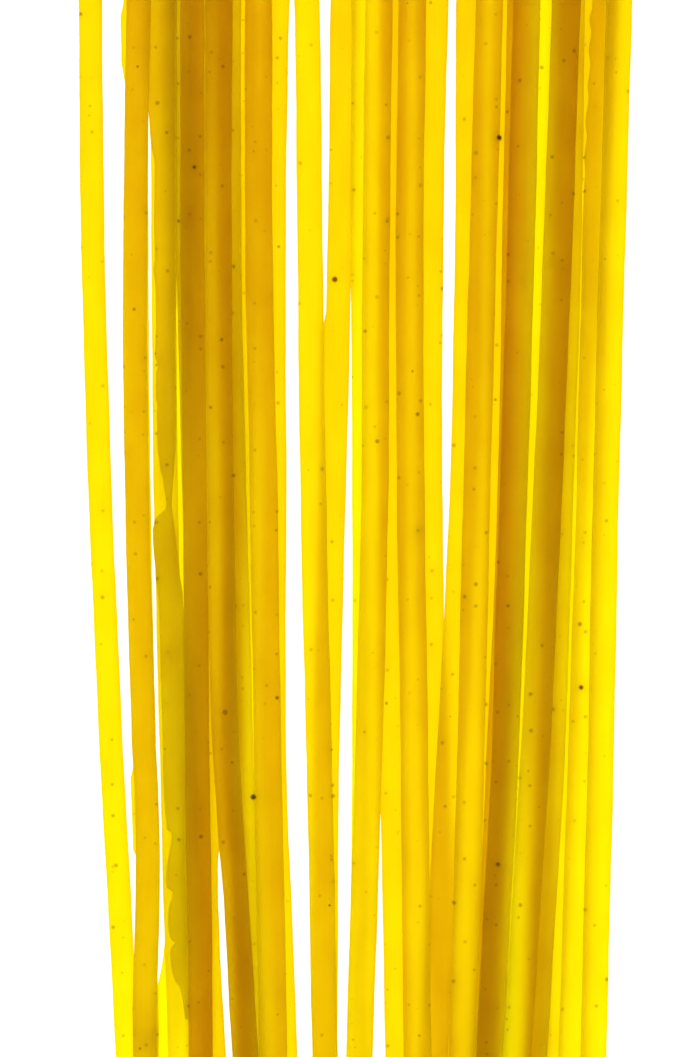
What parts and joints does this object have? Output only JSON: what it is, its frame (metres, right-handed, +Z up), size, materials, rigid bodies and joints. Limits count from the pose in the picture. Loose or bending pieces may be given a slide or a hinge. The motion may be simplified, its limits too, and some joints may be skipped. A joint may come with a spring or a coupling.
{
  "type": "bundle of flat pasta ribbons",
  "caption": "Loose bundle of long flat egg pasta ribbons lying side by side in overlapping layers, some with ragged dough edges, for a kitchen or food scene",
  "frame": {"origin": "the middle of the bundle's footprint, on the surface it lies on", "axes": "the ribbons run along Y with the end that was uppermost towards +Y, +X is to the right across the ribbons as seen from above, and +Z is up, out of the shown side"},
  "size_m": [0.142, 0.3146, 0.0061],
  "materials": {
    "egg_pasta": "satin, translucent dried egg dough"
  },
  "bodies": {
    "root": {"ribbon_bundle": "egg_pasta"}
  },
  "joints": []
}
